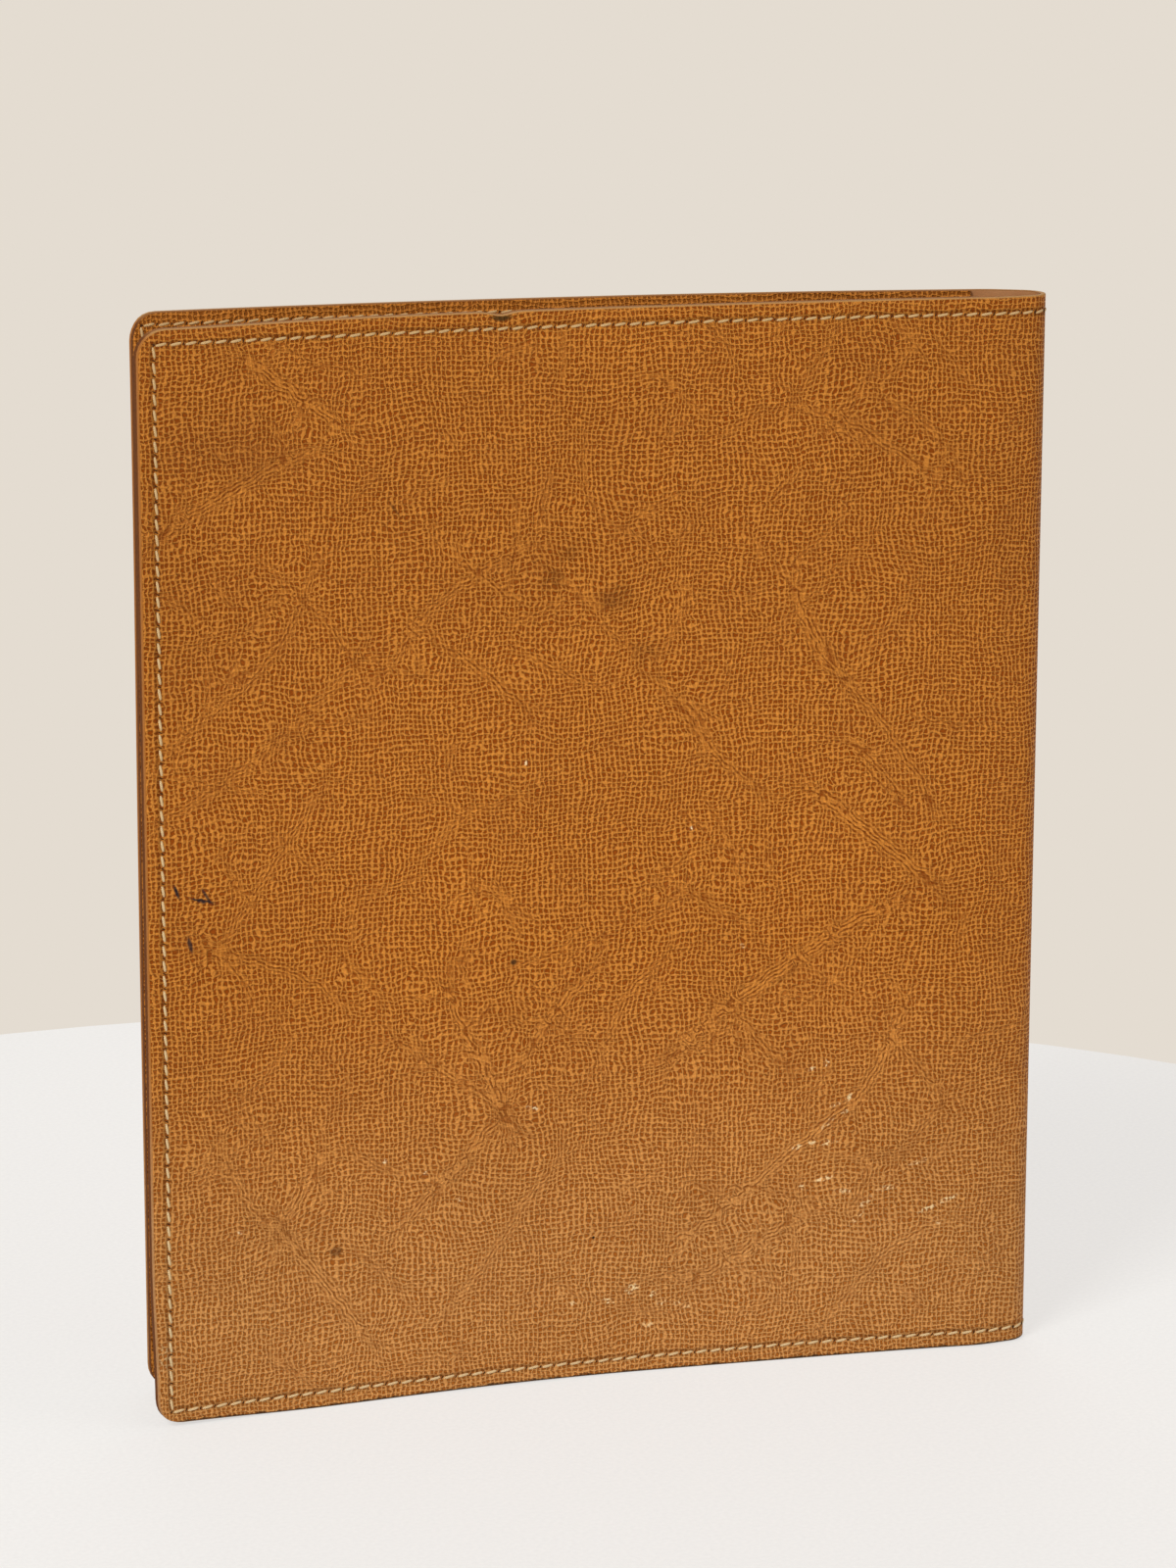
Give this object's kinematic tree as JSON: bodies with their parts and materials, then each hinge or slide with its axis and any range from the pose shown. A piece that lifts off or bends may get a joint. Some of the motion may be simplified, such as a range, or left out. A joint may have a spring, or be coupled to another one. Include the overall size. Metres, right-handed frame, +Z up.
{
  "type": "leather journal",
  "caption": "Soft leather journal with a rounded spine, sewn inner pockets and a slide-in notebook, standing slightly open.",
  "frame": {"origin": "bottom centre of the journal's box, on the surface that it stands on", "axes": "+Z up along the spine, +X towards the spine along the pages' chord, -Y towards the back cover"},
  "size_m": [0.2164, 0.0342, 0.254],
  "materials": {
    "grained_leather": "two-tone tan, fine embossed hatch grain, worn satin",
    "smooth_lining": "smooth pinkish-brown, matt",
    "waxed_thread": "cream waxed thread",
    "paper": "uncoated ivory paper, trimmed edges",
    "card": "plain brown card",
    "cloth_tape": "dark brown book cloth"
  },
  "bodies": {
    "spine": {"spine_leather": "grained_leather", "spine_lining": "smooth_lining", "spine_seam": "waxed_thread", "page_block": "paper", "binding_tape": "cloth_tape"},
    "back_cover": {"back_cover_leather": "grained_leather", "back_cover_lining": "smooth_lining", "back_pocket_leaf": "grained_leather", "back_cover_seam": "waxed_thread", "notebook_back_card": "card"},
    "front_cover": {"front_cover_leather": "grained_leather", "front_cover_lining": "smooth_lining", "front_pocket_leaf": "grained_leather", "front_cover_seam": "waxed_thread", "notebook_front_card": "card"}
  },
  "joints": [
    {"name": "back_cover_fold", "type": "hinge", "parent": "spine", "child": "back_cover", "pos_m": [0.09456, -0.00937, 0], "axis": [0, 0, 1], "range_deg": [-1.7, 90]},
    {"name": "front_cover_fold", "type": "hinge", "parent": "spine", "child": "front_cover", "pos_m": [0.09723, 0.00705, 0], "axis": [0, 0, -1], "range_deg": [-1.7, 90]}
  ]
}
